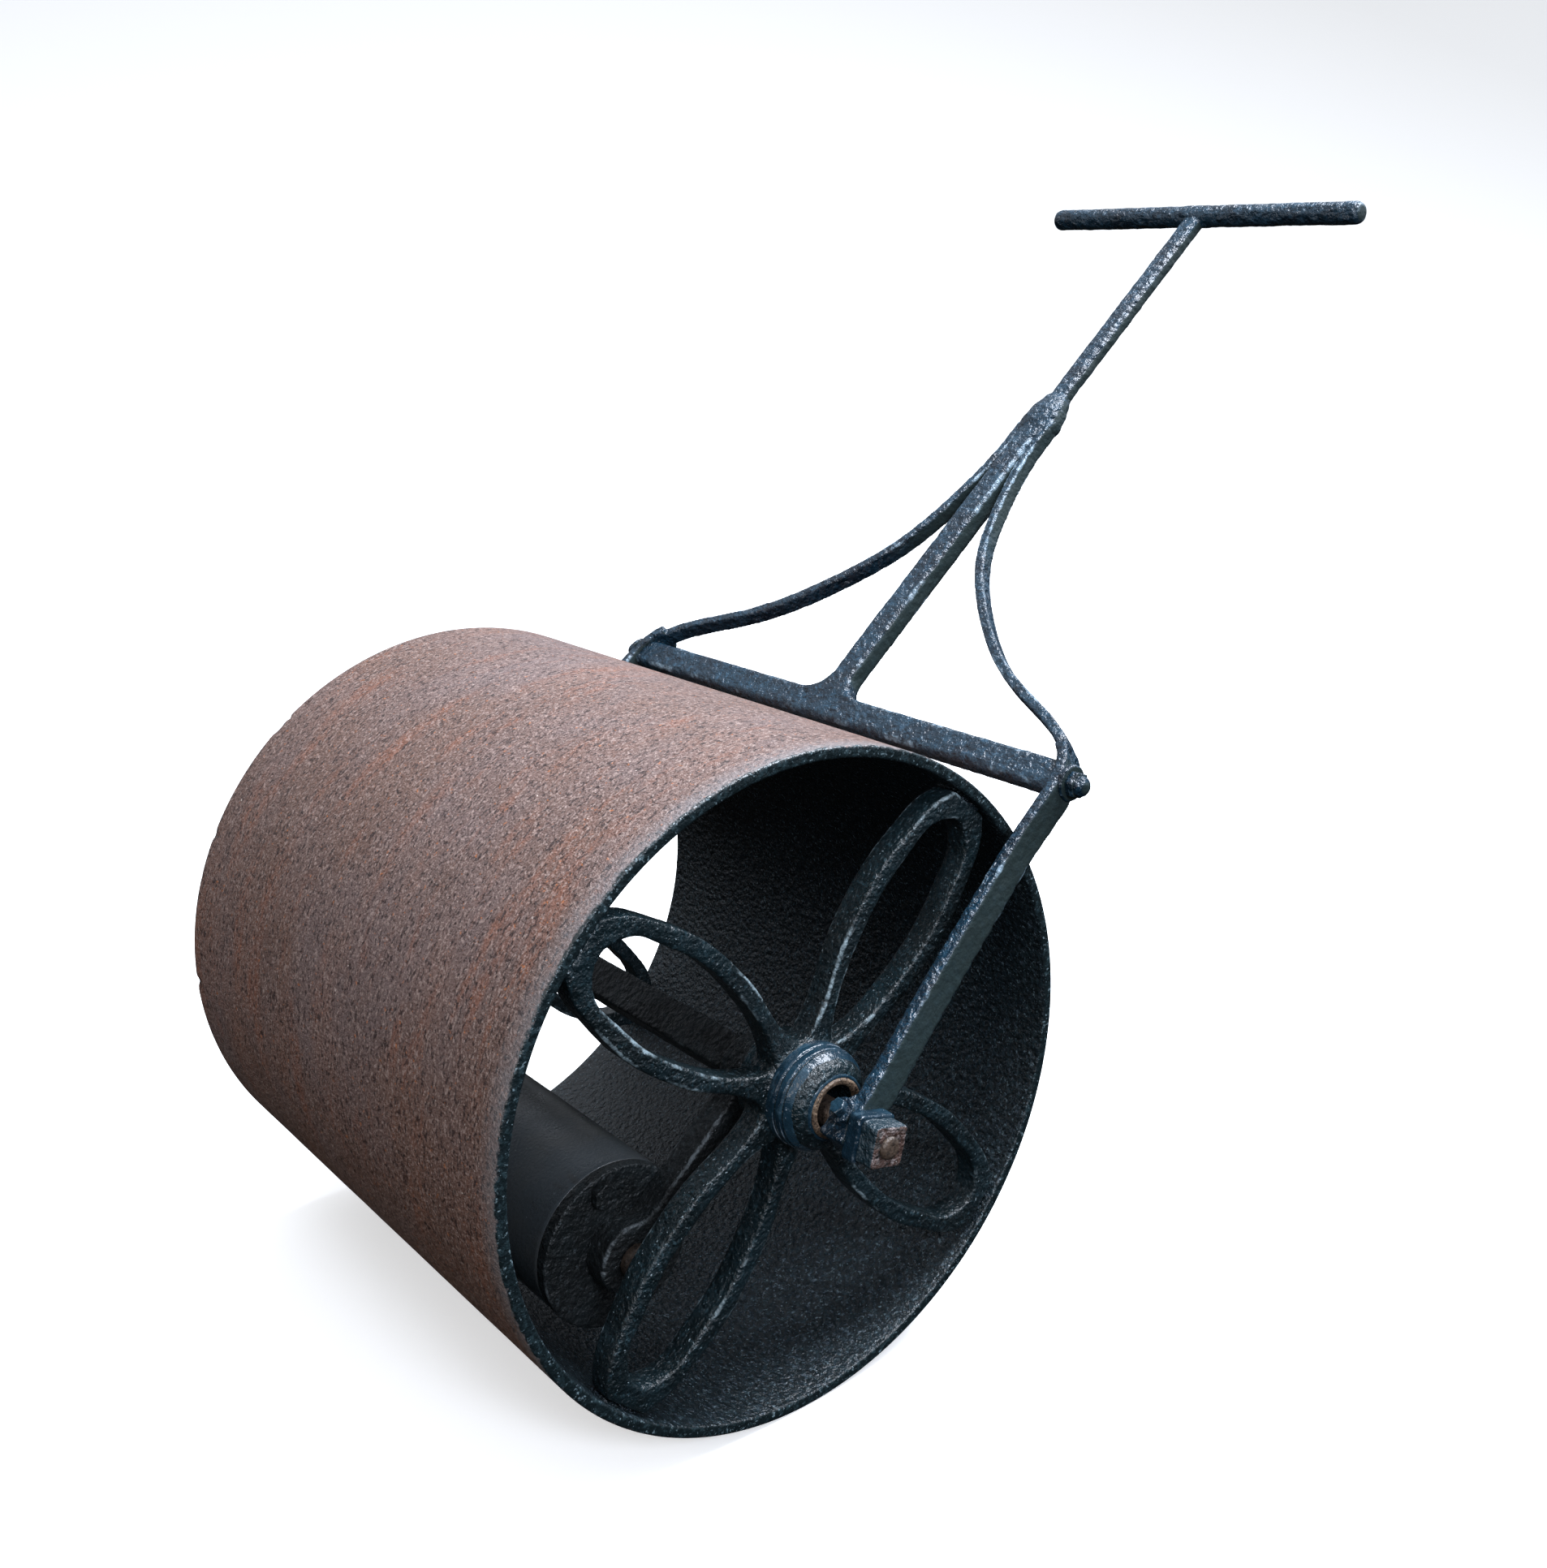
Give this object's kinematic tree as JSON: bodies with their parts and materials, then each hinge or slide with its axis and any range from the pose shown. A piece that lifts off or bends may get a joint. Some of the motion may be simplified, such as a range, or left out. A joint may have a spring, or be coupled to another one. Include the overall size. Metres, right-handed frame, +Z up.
{
  "type": "garden roller",
  "caption": "Heavy cast lawn roller: an open rolling drum on petal-spoked ends, with a forged T handle held upright by a balance weight inside the drum.",
  "frame": {"origin": "on the ground, under the middle of the drum's width", "axes": "+X along the axle towards the near end, +Y the way the handle leans, +Z up"},
  "size_m": [0.68, 0.9861, 0.8876],
  "materials": {
    "drum_rust_tread": "rusted, finely pitted cast iron",
    "spoke_casting": "dark paint over sand-cast iron, chipped and worn at the hub",
    "forged_frame": "gloss dark blue-green paint over hammered forgings",
    "worn_nut": "rust showing through worn paint",
    "axle_steel": "bare steel with thin brown rust",
    "weight_iron": "smooth brown-black paint on iron",
    "fastener": "painted over, edges worn"
  },
  "bodies": {
    "frame": {"axle": "axle_steel", "crossbar": "forged_frame", "far_axle_nut": "worn_nut", "far_axle_plate": "forged_frame", "far_cap_bolts": "fastener", "far_corner_nut": "fastener", "far_corner_washer": "fastener", "far_lock_nut": "fastener", "far_lock_screw": "fastener", "far_side_bar": "forged_frame", "far_weight_arm": "weight_iron", "far_weight_cap": "weight_iron", "forged_knot": "forged_frame", "lower_shaft": "forged_frame", "near_axle_nut": "worn_nut", "near_axle_plate": "forged_frame", "near_cap_bolts": "fastener", "near_corner_nut": "fastener", "near_corner_washer": "fastener", "near_lock_nut": "fastener", "near_lock_screw": "fastener", "near_side_bar": "forged_frame", "near_weight_arm": "weight_iron", "near_weight_cap": "weight_iron", "t_grip": "forged_frame", "upper_shaft": "forged_frame", "weight_body": "weight_iron", "weight_tie_rod": "fastener"},
    "drum": {"drum_shell": "drum_rust_tread", "near_spider": "spoke_casting", "far_spider": "spoke_casting"}
  },
  "joints": [
    {"name": "drum_spin", "type": "hinge", "parent": "frame", "child": "drum", "pos_m": [0, 0, 0.254], "axis": [1, 0, 0], "continuous": true}
  ]
}
